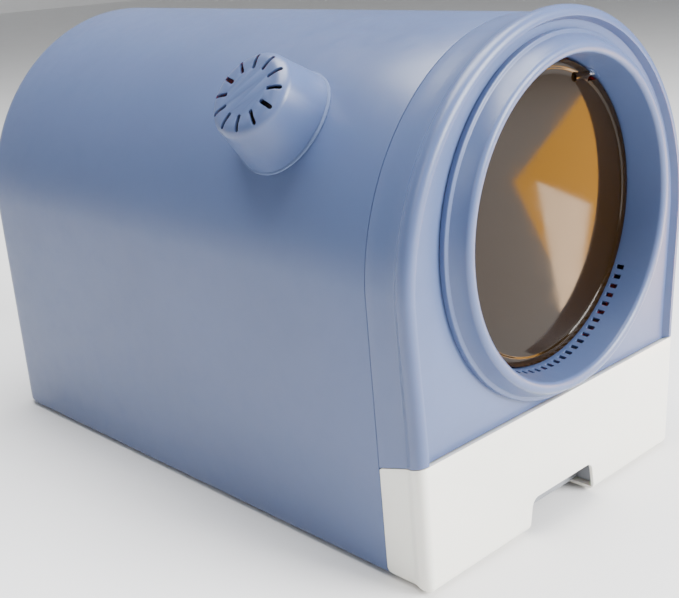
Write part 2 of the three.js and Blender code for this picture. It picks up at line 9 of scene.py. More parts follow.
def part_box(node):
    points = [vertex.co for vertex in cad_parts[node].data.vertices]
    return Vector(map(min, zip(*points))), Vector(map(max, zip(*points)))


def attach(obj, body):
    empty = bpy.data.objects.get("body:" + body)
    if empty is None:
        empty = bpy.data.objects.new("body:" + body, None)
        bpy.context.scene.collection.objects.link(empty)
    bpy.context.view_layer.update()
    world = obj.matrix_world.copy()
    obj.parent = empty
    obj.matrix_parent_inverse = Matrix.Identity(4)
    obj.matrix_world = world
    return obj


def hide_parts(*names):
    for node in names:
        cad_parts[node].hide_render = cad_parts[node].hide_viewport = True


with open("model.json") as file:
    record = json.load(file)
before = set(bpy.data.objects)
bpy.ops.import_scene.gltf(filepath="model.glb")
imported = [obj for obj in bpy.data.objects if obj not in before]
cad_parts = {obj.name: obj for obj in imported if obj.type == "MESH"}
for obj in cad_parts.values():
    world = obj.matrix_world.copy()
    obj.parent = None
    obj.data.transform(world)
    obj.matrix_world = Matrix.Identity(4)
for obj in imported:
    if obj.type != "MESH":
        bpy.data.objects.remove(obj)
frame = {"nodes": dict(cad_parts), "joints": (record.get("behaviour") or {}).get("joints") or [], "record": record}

bl_info = {
    "name": "Hooded litter box",
    "version": (1, 0, 0),
    "blender": (4, 5, 0),
    "location": "3D View > Sidebar > Litter box",
    "description": "Builds the outer mouldings of a hooded cat litter box round its fixed inner frame",
    "category": "Object",
}

MM = 0.001
TINY = 0.00001
PIN_BORE = 2.3 * MM                                   # radius of the holes round the flap's pins
FLOOR_SIZE, WALL_HEIGHT = 14, 6                       # metres
CAMERA_PLACE = Vector((-0.74807, -0.78226, 0.48852))
CAMERA_RIGHT = Vector((0.718881, -0.693135, -0.052679))
CAMERA_FORWARD = Vector((0.662969, 0.706431, -0.247846))
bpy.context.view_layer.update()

# ------------------------------------------------------------------ places taken from the frame

hood_low, hood_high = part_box("body_shell")
front_low, front_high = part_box("front_frame")
collar_low, collar_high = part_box("entry_collar")
flap_low, flap_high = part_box("entry_flap")
drawer_low, drawer_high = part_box("drawer_front")
pin_low, pin_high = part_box("flap_pin_right")
cup_low, cup_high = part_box("filter_cap")

MIDDLE_X = (hood_low.x + hood_high.x) / 2
MOUTH_Y, REAR_Y, FRONT_Y = hood_low.y, hood_high.y, front_low.y
FLOOR_Z = hood_low.z                                  # underside of the box, on its feet
MOUTH_HALF = (hood_high.x - hood_low.x) / 2
SPRING_Z = hood_high.z - MOUTH_HALF                   # where the arch springs
ENTRY_Z = (collar_low.z + collar_high.z) / 2
COLLAR_RADIUS = (collar_high.z - collar_low.z) / 2
COLLAR_REACH = FRONT_Y - collar_low.y
FLAP_RADIUS = (flap_high.z - flap_low.z) / 2
FLAP_Y = (flap_low.y + flap_high.y) / 2
PIVOT_Z = (pin_low.z + pin_high.z) / 2
PIN_REACH = pin_high.x - MIDDLE_X
DRAWER_TOP = drawer_high.z
CUP_Y = (cup_low.y + cup_high.y) / 2
CUP_AXIS = Vector(next(j["axis"] for j in frame["joints"] if j["name"] == "filter_cup_pull")).normalized()
CUP_CENTRE = Vector((MIDDLE_X, CUP_Y, SPRING_Z))


# ------------------------------------------------------------------ sizes and colours

def length(name, millimetres, description):
    return bpy.props.FloatProperty(
        name=name, description=description, default=millimetres * MM, min=0.0,
        unit="LENGTH", subtype="DISTANCE")


def colour(name, default, description):
    return bpy.props.FloatVectorProperty(
        name=name, description=description, default=default, size=3, min=0.0, max=1.0, subtype="COLOR")


class LitterBoxSizes(bpy.types.PropertyGroup):
    """Sizes of the mouldings."""
    wall: length("Wall", 3, "Thickness of the hood, the frame and the drawer front")
    gap: length("Gap", 0.3, "Space between pieces that touch")
    lean: length("Side lean", 13, "How far each side stands in at the floor")
    draft: length("Rear draft", 3, "How much each side narrows from the front rim to the back")
    rear_fillet: length("Rear rounding", 20, "Radius of the edge round the back")
    foot_fillet: length("Foot rounding", 6, "Radius along the bottom edges")
    joint_round: length("Joint rounding", 0.8, "Rounding of the edges where the frame meets the hood")
    flare: length("Rim flare", 6, "How far the front rim stands out past the hood, round the arch")
    flare_low: length("Low rim flare", 2.4, "The same, down by the drawer")
    rim_round: length("Rim rounding", 7, "Rounded outer edge of the front rim")
    rim_land: length("Rim land", 2.5, "Straight part of the rim behind the rounding")
    rim_cove: length("Rim cove", 9, "Hollow that leads from the rim back to the side")
    rim_crest: length("Rim crest", 1.6, "Width of the crest of the front rim")
    face_recess: length("Face recess", 6, "Depth of the face inside the front rim")
    face_slope: length("Face slope", 3, "How far the inside of the rim leans in down to the face")
    tongue: length("Tongue", 12, "Length of the frame's tongue inside the hood")
    tongue_wall: length("Tongue wall", 2.4, "Thickness of the tongue")
    collar_edge: length("Collar edge", 5.3, "Height of the upright edge at the foot of the collar")
    collar_bevel: length("Collar ledge", 4, "Width of the ledge inside that edge")
    collar_slope: length("Collar slope", 4.5, "From the ledge in to the lip")
    lip_width: length("Lip width", 10, "Width of the rounded lip")
    lip_round: length("Lip rounding", 4.5, "Height of the rounding of the lip")
    throat_taper: length("Throat taper", 3.5, "How much the throat narrows inwards")
    throat_depth: length("Throat depth", 24, "From the front rim to the inner end of the collar")
    collar_wall: length("Collar wall", 2.8, "Thickness of the collar")
    drain_width: length("Drain slot", 4.2, "Width of a drain slot in the throat")
    drain_pitch: length("Drain spacing", 9, "Spacing of the drain slots")
    flap_thickness: length("Flap", 3, "Thickness of the flap")
    flap_border: length("Flap border", 8, "Width of the thicker border of the flap")
    flap_border_thickness: length("Flap border thickness", 5, "Thickness of that border")
    knuckle: length("Knuckle radius", 4.2, "Radius of the two knuckles that hold the pins")
    knuckle_length: length("Knuckle length", 17, "Length of each knuckle")
    wing_corner: length("Wing corner", 9, "Radius of the lower back corner of each drawer wing")
    wing_top: length("Wing top corner", 4, "Radius of the upper back corner of each drawer wing")
    parting: length("Parting gap", 0.8, "Gap between the drawer front and the frame")
    flange: length("Top flange", 8, "Height of the flange behind the top edge of the drawer front")
    notch_height: length("Notch height", 30, "Height of the finger notch")
    notch_low: length("Notch width", 98, "Width of the notch at the bottom")
    notch_high: length("Notch top width", 86, "Width of the notch at the top")
    notch_round: length("Notch rounding", 7, "Radius of the notch's upper corners")
    cup_radius: length("Cup radius", 45, "Radius of the filter cup at its foot")
    cup_height: length("Cup height", 43.7, "Height of the cup above the hood")
    cup_taper: length("Cup taper", 7, "How much the cup narrows to its shoulder")
    cup_crown: length("Cup crown", 9, "Height of the rounding of the cap")
    cup_crown_width: length("Cup crown width", 11, "Width of that rounding")
    cup_wall: length("Cup wall", 2.5, "Thickness of the cup")
    cup_ledge: length("Cup ledge", 8, "Seat of the cup outside its tongue")
    cup_tongue: length("Cup tongue", 13, "Depth of the tongue below the hood's surface")
    seal: length("Seal", 1.4, "Thickness of the rubber seal under the cup")
    slot_inner: length("Slot start", 20, "Inner end of the vent slots")
    slot_outer: length("Slot end", 34.5, "Outer end of the vent slots")
    slot_width: length("Slot width", 3.8, "Width of a vent slot")
    drains: bpy.props.IntProperty(name="Drain slots", description="Number of drain slots", default=29, min=1)
    vents: bpy.props.IntProperty(name="Vent slots", description="Number of vent slots", default=12, min=1)
    slope: bpy.props.FloatProperty(
        name="Wing fall", description="Fall of the drawer's top edge per length towards the back",
        default=0.3)


class LitterBoxColours(bpy.types.PropertyGroup):
    """Colours of the finishes."""
    hood: colour("Hood", (0.080, 0.116, 0.240), "Periwinkle plastic of the hood, frame, collar and cup")
    drawer: colour("Drawer", (0.95, 0.91, 0.82), "Warm white plastic of the drawer front")
    # Painted shade: the real flap is clear amber; this near-black brown stands in for the shaded inside of the
    # hood seen through it.
    flap: colour("Flap", (0.014, 0.007, 0.002), "Clear amber plastic of the flap")
    tray: colour("Tray", (0.24, 0.25, 0.27), "Grey plastic of the tray and the grille")
    seal: colour("Seal", (0.13, 0.18, 0.33), "Soft rubber of the seal")
    foot: colour("Feet", (0.012, 0.012, 0.013), "Black rubber of the feet")
    carbon: colour("Carbon", (0.008, 0.008, 0.009), "Felt of the carbon filter")
    steel: colour("Steel", (0.6, 0.61, 0.63), "Zinc-plated screws and pins")
    floor: colour("Floor", (0.9, 0.9, 0.9), "Floor and backdrop")


def sizes():
    return bpy.context.scene.litter_box_sizes


def colours():
    return bpy.context.scene.litter_box_colours


# ------------------------------------------------------------------ hand work

def clear_selection():
    bpy.ops.object.select_all(action="DESELECT")


def begin(name):
    """Names the new primitive, puts its place in its mesh and opens it for editing by vertices."""
    piece = bpy.context.object
    piece.name = piece.data.name = name
    bpy.ops.object.transform_apply(location=True, rotation=True, scale=True)
    bpy.ops.object.mode_set(mode="EDIT")
    bpy.ops.mesh.select_mode(type="VERT")
    return piece


def choose(piece, wanted):
    """Selects only these vertices, given as numbers."""
    mesh = bmesh.from_edit_mesh(piece.data)
    bpy.ops.mesh.select_all(action="DESELECT")
    mesh.verts.ensure_lookup_table()
    for number in wanted:
        mesh.verts[number].select = True
    mesh.select_flush_mode()


def choose_where(piece, test):
    """Selects the vertices whose place passes the test."""
    mesh = bmesh.from_edit_mesh(piece.data)
    choose(piece, [v.index for v in mesh.verts if test(v.co)])


def chosen(piece):
    mesh = bmesh.from_edit_mesh(piece.data)
    mesh.verts.index_update()
    return {v.index: v.co.copy() for v in mesh.verts if v.select}


def chosen_all(piece):
    bpy.ops.mesh.select_all(action="SELECT")
    return chosen(piece)


def move(offset):
    if Vector(offset).length > TINY / 10:
        bpy.ops.transform.translate(value=offset)


def stretch(factors, centre):
    if max(abs(f - 1) for f in factors) > TINY / 10:
        bpy.ops.transform.resize(value=factors, center_override=centre)


def finish_piece(outward=True):
    if outward:
        bpy.ops.mesh.select_all(action="SELECT")
        bpy.ops.mesh.normals_make_consistent(inside=False)
    bpy.ops.object.mode_set(mode="OBJECT")


def smooth(piece, degrees=28):
    clear_selection()
    piece.select_set(True)
    bpy.context.view_layer.objects.active = piece
    bpy.ops.object.shade_smooth_by_angle(angle=math.radians(degrees))


def with_modifier(piece, kind, **settings):
    clear_selection()
    piece.select_set(True)
    bpy.context.view_layer.objects.active = piece
    modifier = piece.modifiers.new(kind.title(), kind)
    for name, value in settings.items():
        setattr(modifier, name, value)
    bpy.ops.object.modifier_apply(modifier=modifier.name)


def joined_with(piece, tool, operation):
    """Cuts the piece with the tool, or joins them, and takes the tool away."""
    with_modifier(piece, "BOOLEAN", operation=operation, object=tool, solver="EXACT")
    bpy.data.objects.remove(tool)


def round_edges(piece, width, degrees=40, segments=2):
    with_modifier(piece, "BEVEL", width=width, segments=segments, limit_method="ANGLE",
                  angle_limit=math.radians(degrees), use_clamp_overlap=True, miter_outer="MITER_ARC")


def place_piece(piece, body, slot_name, nodes=()):
    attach(piece, body)
    if nodes:
        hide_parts(*nodes)
    piece.data.materials.clear()
    piece.data.materials.append(finish_for(slot_name))


# ------------------------------------------------------------------ turned work

def turned(name, profile, count, closed=False):
    """Turns a profile of (radius, height) points about +Z: one ring, extruded point by point."""
    bpy.ops.mesh.primitive_circle_add(vertices=count, radius=profile[0][0], fill_type="NOTHING",
                                      location=(0, 0, profile[0][1]))
    piece = begin(name)
    bpy.ops.mesh.select_all(action="SELECT")
    first = list(chosen(piece))
    for (r0, h0), (r1, h1) in zip(profile, profile[1:]):
        bpy.ops.mesh.extrude_region_move(TRANSFORM_OT_translate={"value": (0, 0, h1 - h0)})
        stretch((r1 / r0, r1 / r0, 1), (0, 0, h1))
    last = list(chosen(piece))
    if closed:
        bpy.ops.mesh.select_all(action="SELECT")
        bpy.ops.mesh.remove_doubles(threshold=TINY)
    else:
        for ring in (first, last):
            choose(piece, ring)
            bpy.ops.mesh.edge_face_add()
    finish_piece()
    return piece


def turn_to(piece, direction, centre):
    """Turns +Z of a piece at the origin to a direction and moves it to a place."""
    piece.rotation_mode = "QUATERNION"
    piece.rotation_quaternion = Vector(direction).to_track_quat("Z", "Y")
    piece.location = centre
    clear_selection()
    piece.select_set(True)
    bpy.context.view_layer.objects.active = piece
    bpy.ops.object.transform_apply(location=True, rotation=True, scale=True)
    piece.rotation_mode = "XYZ"
    return piece


def rod(name, radius, low, high, count=64):
    return turned(name, [(radius, low), (radius, high)], count)


def arc(centre_r, centre_h, width, height, start, end, steps):
    """Points on a quarter or half ellipse, from one angle to another in degrees."""
    points = []
    for i in range(steps + 1):
        angle = math.radians(start + (end - start) * i / steps)
        points.append((centre_r + width * math.cos(angle), centre_h + height * math.sin(angle)))
    return points


def block(name, low, high):
    centre = (Vector(low) + Vector(high)) / 2
    bpy.ops.mesh.primitive_cube_add(size=1, location=centre, scale=Vector(high) - Vector(low))
    return begin(name)


# ------------------------------------------------------------------ the tunnel outline

ARCH_POINTS = 128                                     # round the whole circle
SIDE_ROWS = 8
FOOT_ROWS = 5


def half_at(y):
    s = sizes()
    return MOUTH_HALF + s.draft * (MOUTH_Y - y) / (REAR_Y - FRONT_Y)


def share_at(z):
    """How much of the rim's flare there is at a height."""
    s = sizes()
    t = min(max((z - DRAWER_TOP) / (SPRING_Z - DRAWER_TOP), 0.0), 1.0)
    low = s.flare_low / s.flare
    return low + (1 - low) * t * t * (3 - 2 * t)


def tunnel_rows(y, inset, flare):
    """Half width and height of each row of the outline below the arch."""
    s = sizes()
    half = half_at(y) - inset
    bottom = FLOOR_Z + max(inset, 0)
    fillet = max(s.foot_fillet - max(inset, 0), s.wall / 2)
    def edge(z):
        return half - s.lean * (1 - (z - FLOOR_Z) / (SPRING_Z - FLOOR_Z)) + flare * share_at(z)
    top = bottom + fillet
    rows = [SPRING_Z + (top - SPRING_Z) * (i + 1) / SIDE_ROWS for i in range(SIDE_ROWS)]
    rows = [(edge(z), z) for z in rows]
    for i in range(1, FOOT_ROWS + 1):
        angle = math.radians(90 * i / FOOT_ROWS)
        rows.append((edge(top) - fillet * (1 - math.cos(angle)), top - fillet * math.sin(angle)))
    return rows


def fit_ring(piece, y, inset, flare):
    """Gives the selected ring the outline for its depth."""
    places = chosen(piece)
    arch = [i for i, p in places.items() if p.z > SPRING_Z - TINY]
    low = sorted((i for i in places if places[i].z <= SPRING_Z - TINY), key=lambda i: -places[i].z)
    half = max(abs(places[i].x - MIDDLE_X) for i in arch)
    ratio = (half_at(y) - inset + flare) / half
    choose(piece, arch)
    stretch((ratio, 1, ratio), (MIDDLE_X, y, SPRING_Z))
    rows = [low[k:k + 2] for k in range(0, len(low), 2)]
    for row, (half_x, z) in zip(rows, tunnel_rows(y, inset, flare)):
        now = places[row[0]]
        choose(piece, row)
        stretch((half_x / abs(now.x - MIDDLE_X), 1, 1), (MIDDLE_X, y, now.z))
        move((0, 0, z - now.z))
    choose(piece, places)


def start_ring(name, y, inset=0.0, flare=0.0):
    """One closed ring of edges in the shape of the tunnel."""
    radius = half_at(y) - inset + flare
    bpy.ops.mesh.primitive_circle_add(vertices=ARCH_POINTS, radius=radius, fill_type="NOTHING",
                                      location=(MIDDLE_X, y, SPRING_Z), rotation=(math.pi / 2, 0, 0))
    piece = begin(name)
    choose_where(piece, lambda p: p.z < SPRING_Z - TINY)
    bpy.ops.mesh.delete(type="VERT")
    choose_where(piece, lambda p: abs(p.z - SPRING_Z) < TINY)
    half_now, z_now = radius, SPRING_Z
    for half_x, z in tunnel_rows(y, inset, flare):
        bpy.ops.mesh.extrude_region_move(TRANSFORM_OT_translate={"value": (0, 0, z - z_now)})
        stretch((half_x / half_now, 1, 1), (MIDDLE_X, y, z))
        half_now, z_now = half_x, z
    bpy.ops.mesh.edge_face_add()
    bpy.ops.object.mode_set(mode="OBJECT")            # numbers the points afresh after the deletion
    bpy.ops.object.mode_set(mode="EDIT")
    bpy.ops.mesh.select_all(action="SELECT")
    return piece


def tunnel_skin(name, rings):
    """Extrudes the tunnel's ring through a list of (y, inset, flare) and closes both ends."""
    piece = start_ring(name, *rings[0])
    first = list(chosen(piece))
    now = rings[0][0]
    for y, inset, flare in rings[1:]:
        bpy.ops.mesh.extrude_region_move(TRANSFORM_OT_translate={"value": (0, y - now, 0)})
        fit_ring(piece, y, inset, flare)
        now = y
    last = list(chosen(piece))
    for ring in (first, last):
        choose(piece, ring)
        bpy.ops.mesh.edge_face_add()
    finish_piece()
    return piece


def steps_between(low, high, count):
    return [low + (high - low) * (i + 1) / count for i in range(count)]


def rear_rings(end_y, inset, fillet, count=8):
    """Rounded back end, from its flat middle forward to where the sides start."""
    rings = []
    for i in range(count + 1):
        angle = math.radians(90 * (1 - i / count))
        rings.append((end_y - fillet + fillet * math.sin(angle), inset + fillet * (1 - math.cos(angle)), 0.0))
    return rings


def rim_rings(s, end_y):
    """Outside of the front rim, from its crest back to where the frame or the drawer front ends."""
    rings = []
    for i in range(9):
        angle = math.radians(90 * (1 - i / 8))
        rings.append((FRONT_Y + s.rim_round * (1 - math.sin(angle)),
                      s.rim_round * (1 - math.cos(angle)), s.flare))
    start = FRONT_Y + s.rim_round + s.rim_land
    for i in range(7):
        t = i / 6
        rings.append((start + s.rim_cove * t, 0.0, s.flare * (1 + math.cos(math.pi * t)) / 2))
    rings += [(y, 0.0, 0.0) for y in steps_between(rings[-1][0], end_y - s.joint_round, 3)]
    return rings + round_over(end_y, s.joint_round, 1)


def round_over(y, radius, side):
    """Rounds the outer edge at the end of a skin: side is +1 where it ends towards the back."""
    rings = []
    for i in range(1, 4):
        angle = math.radians(90 * i / 3)
        rings.append((y - side * radius * (1 - math.sin(angle)), radius * (1 - math.cos(angle)), 0.0))
    return rings


def parting_cut(offset, keep_above):
    """Cuts the skin along the sloping line between the frame and the drawer front."""
    s = sizes()
    point = (MIDDLE_X, FRONT_Y, DRAWER_TOP + s.parting / 2 + offset)
    bpy.ops.mesh.select_all(action="SELECT")
    bpy.ops.mesh.bisect(plane_co=point, plane_no=(0, s.slope, 1), use_fill=True,
                        clear_inner=keep_above, clear_outer=not keep_above)


# ------------------------------------------------------------------ finishes

def link(tree, source, output, target, socket):
    tree.links.new(source.outputs[output], target.inputs[socket])


def noise(tree, places, scale, detail=3.0, roughness=0.5):
    node = tree.nodes.new("ShaderNodeTexNoise")
    node.inputs["Scale"].default_value = scale
    node.inputs["Detail"].default_value = detail
    node.inputs["Roughness"].default_value = roughness
    link(tree, places, "Object", node, "Vector")
    return node


def spread(tree, source, output, low, high, from_low=0.3, from_high=0.7):
    node = tree.nodes.new("ShaderNodeMapRange")
    node.inputs["From Min"].default_value = from_low
    node.inputs["From Max"].default_value = from_high
    node.inputs["To Min"].default_value = low
    node.inputs["To Max"].default_value = high
    link(tree, source, output, node, "Value")
    return node


def blended(tree, first, second, share):
    """Mixes two colours, each given as three numbers or as a (node, output)."""
    node = tree.nodes.new("ShaderNodeMix")
    node.data_type = "RGBA"
    for socket, value in ((node.inputs[6], first), (node.inputs[7], second)):
        if hasattr(value[0], "outputs"):
            tree.links.new(value[0].outputs[value[1]], socket)
        else:
            socket.default_value = (*value, 1)
    tree.links.new(share.outputs[0], node.inputs[0])
    return node


def toned(base, factor):
    return tuple(min(1.0, c * factor) for c in base)


def surface(name, base, rough, grain=1500.0, grain_depth=0.05, variation=0.05, wear=0.12, haze=0.05,
            **settings):
    """A finish with fine grain, slow changes of colour and gloss, and edges a little worn."""
    material = bpy.data.materials.new(name)
    material.use_nodes = True
    tree = material.node_tree
    shader = tree.nodes["Principled BSDF"]
    places = tree.nodes.new("ShaderNodeTexCoord")
    slow = noise(tree, places, 7.0, 2.0)
    cloud = noise(tree, places, 55.0, 4.0, 0.6)
    fine = noise(tree, places, grain, 2.0)
    tone = blended(tree, toned(base, 1 - variation), toned(base, 1 + variation),
                   spread(tree, slow, 0, 0.0, 1.0))
    speck = blended(tree, (tone, 2), toned(base, 1 - 2 * variation),
                    spread(tree, cloud, 0, 0.0, 0.3, 0.5, 0.8))
    shape = tree.nodes.new("ShaderNodeNewGeometry")
    edges = spread(tree, shape, "Pointiness", 0.0, wear, 0.505, 0.56)
    worn = blended(tree, (speck, 2), toned(base, 1.6), edges)
    link(tree, worn, 2, shader, "Base Color")
    gloss = spread(tree, cloud, 0, rough - haze, rough + haze)
    link(tree, gloss, 0, shader, "Roughness")
    bump = tree.nodes.new("ShaderNodeBump")
    bump.inputs["Strength"].default_value = 0.35
    bump.inputs["Distance"].default_value = grain_depth * MM
    link(tree, fine, 0, bump, "Height")
    link(tree, bump, 0, shader, "Normal")
    for socket, value in settings.items():
        shader.inputs[socket.replace("_", " ").title().replace("Ior", "IOR")].default_value = value
    return material


def finish_for(slot_name):
    """The finish of one of the record's material slots, made the first time it is asked for."""
    found = bpy.data.materials.get(slot_name + "_finish")
    if found:
        return found
    c = colours()
    name = slot_name + "_finish"
    if slot_name == "hood_blue":
        return surface(name, c.hood, 0.36, grain_depth=0.09, subsurface_weight=0.04, coat_weight=0.12,
                       coat_roughness=0.3)
    if slot_name == "drawer_white":
        return surface(name, c.drawer, 0.34, grain_depth=0.07, variation=0.02, subsurface_weight=0.06,
                       coat_weight=0.1, coat_roughness=0.3)
    if slot_name == "flap_amber":
        # Painted shade: the flap's near-black colour and its alpha of 0.94, which lets little through, stand in
        # for the shaded inside of the hood seen through the clear amber.
        return surface(name, c.flap, 0.07, grain=40.0, grain_depth=0.0005, variation=0.12, wear=0.05,
                       haze=0.02, alpha=0.94, specular_ior_level=0.15)
    if slot_name == "tray_grey":
        return surface(name, c.tray, 0.45, grain_depth=0.1)
    if slot_name == "seal_rubber":
        return surface(name, c.seal, 0.6, grain=900.0, grain_depth=0.12, wear=0.05)
    if slot_name == "foot_rubber":
        return surface(name, c.foot, 0.75, grain=700.0, grain_depth=0.2, wear=0.05)
    if slot_name == "carbon_felt":
        return surface(name, c.carbon, 0.92, grain=450.0, grain_depth=1.2, variation=0.3, wear=0.3,
                       sheen_weight=0.4)
    return surface(name, c.steel, 0.28, grain=1100.0, grain_depth=0.05, variation=0.04, haze=0.08,
                   metallic=1.0)


# ------------------------------------------------------------------ the mouldings

class BuildHood(bpy.types.Operator):
    """Moulds the tunnel-shaped hood, closed at the back, with its two runners and the cup's hole"""
    bl_idname = "litter_box.hood"
    bl_label = "Hood"

    def execute(self, context):
        s = sizes()
        rings = [(REAR_Y, s.rear_fillet + 3 * MM, 0.0)] + rear_rings(REAR_Y, 0, s.rear_fillet)
        rings += [(y, 0.0, 0.0) for y in steps_between(REAR_Y - s.rear_fillet, MOUTH_Y + s.joint_round, 9)]
        rings += round_over(MOUTH_Y, s.joint_round, -1)
        rings.append((MOUTH_Y, s.wall, 0.0))
        inner = list(reversed(rear_rings(REAR_Y - s.wall, s.wall, s.rear_fillet - s.wall)))
        rings += [(y, s.wall, 0.0) for y in steps_between(MOUTH_Y, REAR_Y - s.rear_fillet, 9)][:-1]
        hood = tunnel_skin("hood", rings + inner)
        reach = half_at(CUP_Y)
        hole = rod("cup_hole", s.cup_radius - s.cup_ledge + 2 * s.gap, reach / 2, reach + s.cup_height, 96)
        joined_with(hood, turn_to(hole, CUP_AXIS, CUP_CENTRE), "DIFFERENCE")
        floor = FLOOR_Z + s.wall
        for side in (-1, 1):
            x = MIDDLE_X + side * 110 * MM
            runner = block("runner", (x - 4 * MM, MOUTH_Y + 45 * MM, floor - 0.5 * MM),
                           (x + 4 * MM, REAR_Y - 44 * MM, floor + 1.5 * MM))
            bpy.ops.object.mode_set(mode="OBJECT")
            joined_with(hood, runner, "UNION")
        smooth(hood)
        place_piece(hood, "box", "hood_blue", ["body_shell"])
        return {"FINISHED"}


class BuildFrame(bpy.types.Operator):
    """Moulds the front frame: flared rim, recessed face with the entry's hole, and inner tongue"""
    bl_idname = "litter_box.front_frame"
    bl_label = "Front frame"

    def execute(self, context):
        s = sizes()
        end_y = MOUTH_Y - s.gap
        crest = s.rim_round + s.rim_crest
        foot = crest + s.face_slope
        rings = [(FRONT_Y + s.face_recess, foot + 2 * MM, s.flare), (FRONT_Y + s.face_recess, foot, s.flare),
                 (FRONT_Y + 0.25 * s.face_recess, crest + 0.6 * MM, s.flare),
                 (FRONT_Y + 0.2 * MM, crest, s.flare)]
        rings += rim_rings(s, end_y)
        inset = s.wall + s.gap
        tip = MOUTH_Y + s.tongue
        rings += [(end_y, inset, 0.0), (tip - MM, inset, 0.0), (tip, inset + MM, 0.0),
                  (tip, inset + s.tongue_wall, 0.0), (end_y - 4 * MM, inset + s.tongue_wall, 0.0),
                  (end_y - 6 * MM, s.wall, 0.0)]
        rings += [(y, s.wall, 0.0)
                  for y in steps_between(end_y - 6 * MM, FRONT_Y + s.face_recess + s.wall, 3)]
        frame_piece = tunnel_skin("front_frame_moulding", rings)
        hole = rod("entry_hole", COLLAR_RADIUS - 9 * MM, -3 * s.face_recess, s.face_recess, 160)
        joined_with(frame_piece, turn_to(hole, (0, -1, 0), (MIDDLE_X, FRONT_Y, ENTRY_Z)), "DIFFERENCE")
        bpy.ops.object.mode_set(mode="EDIT")
        parting_cut(s.parting / 2, True)
        finish_piece()
        smooth(frame_piece)
        place_piece(frame_piece, "box", "hood_blue", ["front_frame"])
        return {"FINISHED"}


def entry_part(piece):
    """Turns a piece made about +Z so that it faces the front, on the axis of the entry."""
    return turn_to(piece, (0, -1, 0), (MIDDLE_X, FRONT_Y, ENTRY_Z))


def cross_rod(radius, low, high, side, rise, height):
    """A rod along X on one side of a piece that is made about +Z."""
    part = rod("cross_rod", radius, low, high, 40)
    return turn_to(part, (side, 0, 0), (0, rise, height))


class BuildCollar(bpy.types.Operator):
    """Turns the entry collar with its rounded lip, and cuts the drain slots round the bottom of the throat"""
    bl_idname = "litter_box.collar"
    bl_label = "Entry collar"

    def execute(self, context):
        s = sizes()
        seat = s.gap - s.face_recess
        edge = seat + s.collar_edge - s.gap
        ledge = COLLAR_RADIUS - s.collar_bevel
        lip_outer = ledge - s.collar_slope
        lip_middle = lip_outer - s.lip_width / 2
        throat = lip_outer - s.lip_width - s.throat_taper
        cavity = COLLAR_REACH - 2 * s.collar_wall
        throat_there = throat + s.throat_taper * (cavity + s.throat_depth) / (s.throat_depth + COLLAR_REACH)
        inner_edge = ledge - s.collar_wall
        profile = [(inner_edge, seat), (COLLAR_RADIUS - 0.4 * MM, seat), (COLLAR_RADIUS, seat + 0.4 * MM)]
        profile += arc(COLLAR_RADIUS - 1.2 * MM, edge - 1.2 * MM, 1.2 * MM, 1.2 * MM, 0, 90, 4)
        profile += [(ledge + 1.2 * MM, edge + 0.1 * MM), (ledge + 0.5 * MM, edge + 0.35 * MM),
                    (ledge, edge + 1.2 * MM)]
        profile += arc(lip_middle, COLLAR_REACH - s.lip_round, s.lip_width / 2, s.lip_round, 0, 180, 14)
        profile += [(throat + 0.4 * MM, -s.throat_depth + 0.4 * MM), (throat + 0.8 * MM, -s.throat_depth),
                    (throat + s.collar_wall, -s.throat_depth), (throat_there + s.collar_wall, cavity),
                    (lip_outer - s.collar_wall, cavity), (inner_edge, edge - s.collar_wall),
                     (inner_edge, seat)]
        collar = turned("collar", profile, 192, closed=True)
        rise = PIVOT_Z - ENTRY_Z
        height = FRONT_Y - FLAP_Y
        for side in (-1, 1):
            boss = cross_rod(4.9 * MM, 60 * MM, PIN_REACH + MM, side, rise, height)
            joined_with(collar, boss, "UNION")
        clear = turned("throat_clear", [(throat - 0.03 * MM, -2 * s.throat_depth),
                       (throat - 0.03 * MM, -s.throat_depth), (throat_there - 0.03 * MM, cavity)], 192)
        joined_with(collar, clear, "DIFFERENCE")
        for side in (-1, 1):
            bore = cross_rod(PIN_BORE, 50 * MM, PIN_REACH + 2 * MM, side, rise, height)
            joined_with(collar, bore, "DIFFERENCE")
        step = s.drain_pitch / throat
        cutters = []
        for i in range(s.drains):
            angle = -math.pi / 2 + step * (i - (s.drains - 1) / 2)
            outside = throat + s.collar_wall
            place = (outside * math.cos(angle), outside * math.sin(angle), -14 * MM)
            bpy.ops.mesh.primitive_cube_add(size=1, location=place, rotation=(0, 0, angle),
                                            scale=(3.5 * s.collar_wall, s.drain_width, 7 * MM))
            cutter = begin("drain_cutter")
            bpy.ops.mesh.select_all(action="SELECT")
            bpy.ops.mesh.bevel(offset=0.9 * MM, segments=3)
            bpy.ops.object.mode_set(mode="OBJECT")
            cutters.append(cutter)
        clear_selection()
        for cutter in cutters:
            cutter.select_set(True)
        bpy.context.view_layer.objects.active = cutters[0]
        bpy.ops.object.join()
        joined_with(collar, cutters[0], "DIFFERENCE")
        entry_part(collar)
        smooth(collar, 32)
        place_piece(collar, "box", "hood_blue", ["entry_collar"])
        return {"FINISHED"}


